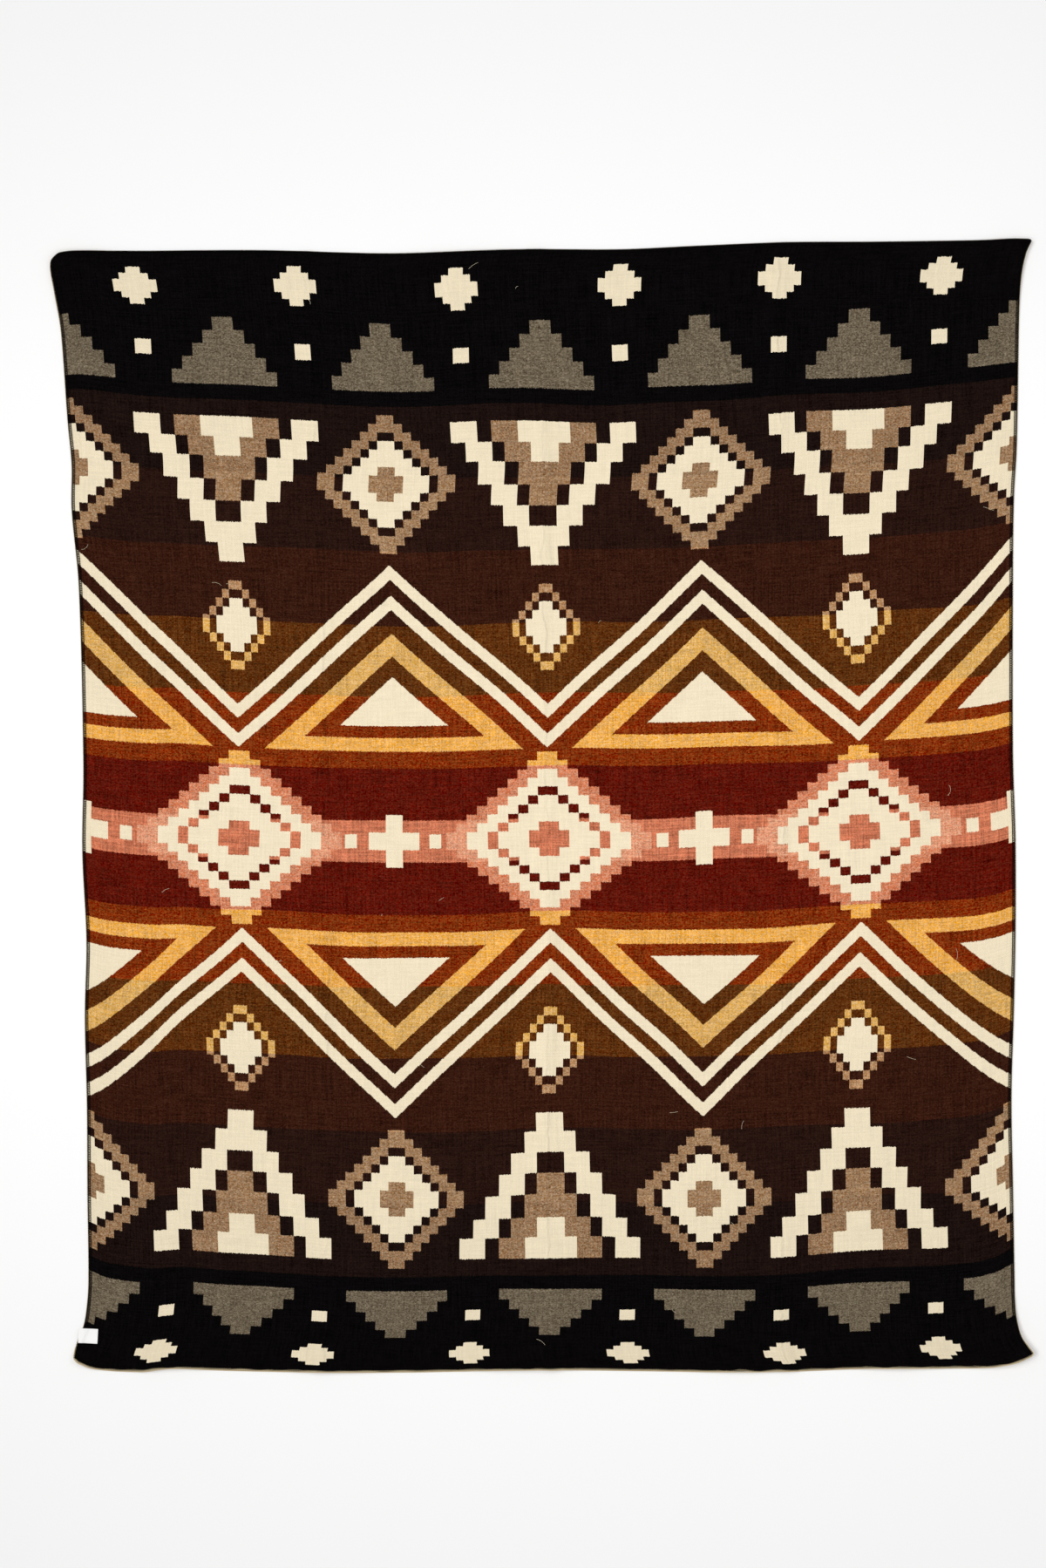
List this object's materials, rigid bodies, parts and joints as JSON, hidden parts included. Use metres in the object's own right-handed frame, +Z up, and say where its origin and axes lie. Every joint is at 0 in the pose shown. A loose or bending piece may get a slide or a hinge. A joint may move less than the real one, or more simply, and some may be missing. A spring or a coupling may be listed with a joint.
{
  "type": "woven alpaca throw blanket",
  "caption": "Rectangular double-woven throw blanket lying face up, with graded weft bands, an overlocked edge and a small blank label.",
  "frame": {"origin": "on the surface that the throw lies on, at the middle of its outline", "axes": "+Z up out of the face, +Y along the length from the hem with the label towards the top edge, +X to the right across the width"},
  "size_m": [1.92, 2.2194, 0.0198],
  "materials": {
    "throw": "brushed double weave in black, browns, rust, maroon and coral bands with cream figures, matt",
    "label": "white woven satin tape, blank"
  },
  "bodies": {
    "root": {"throw": "throw", "label": "label"}
  },
  "joints": []
}
